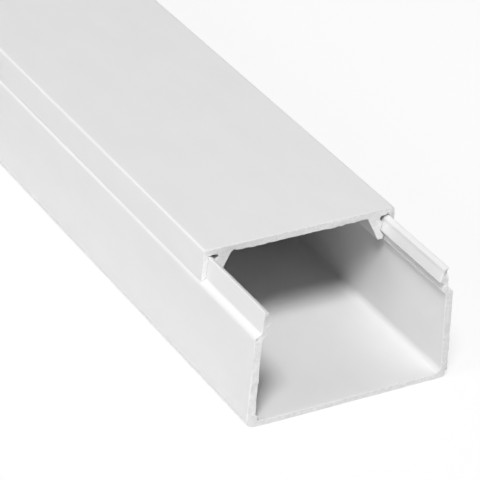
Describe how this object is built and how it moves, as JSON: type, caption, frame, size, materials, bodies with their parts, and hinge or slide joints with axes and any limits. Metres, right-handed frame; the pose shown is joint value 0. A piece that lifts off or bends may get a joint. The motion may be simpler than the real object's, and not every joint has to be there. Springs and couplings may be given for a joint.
{
  "type": "cord cover raceway",
  "caption": "Two-piece cable raceway: a U-shaped wall channel with snap lips and a clip-on cover that slides along it.",
  "frame": {"origin": "centre of the base channel's flat back face, halfway along its length", "axes": "+Y along the raceway, away from the cut end that the cover is slid back from; +X across the width; +Z from the back face to the cover"},
  "size_m": [0.0414, 0.42, 0.025],
  "materials": {
    "base_plastic": "satin",
    "cover_plastic": "satin"
  },
  "bodies": {
    "base": {"base_channel": "base_plastic"},
    "cover": {"snap_cover": "cover_plastic"}
  },
  "joints": [
    {"name": "cover_slide", "type": "slide", "parent": "base", "child": "cover", "axis": [0, 1, 0], "range_m": [-0.02, 0.18]}
  ]
}
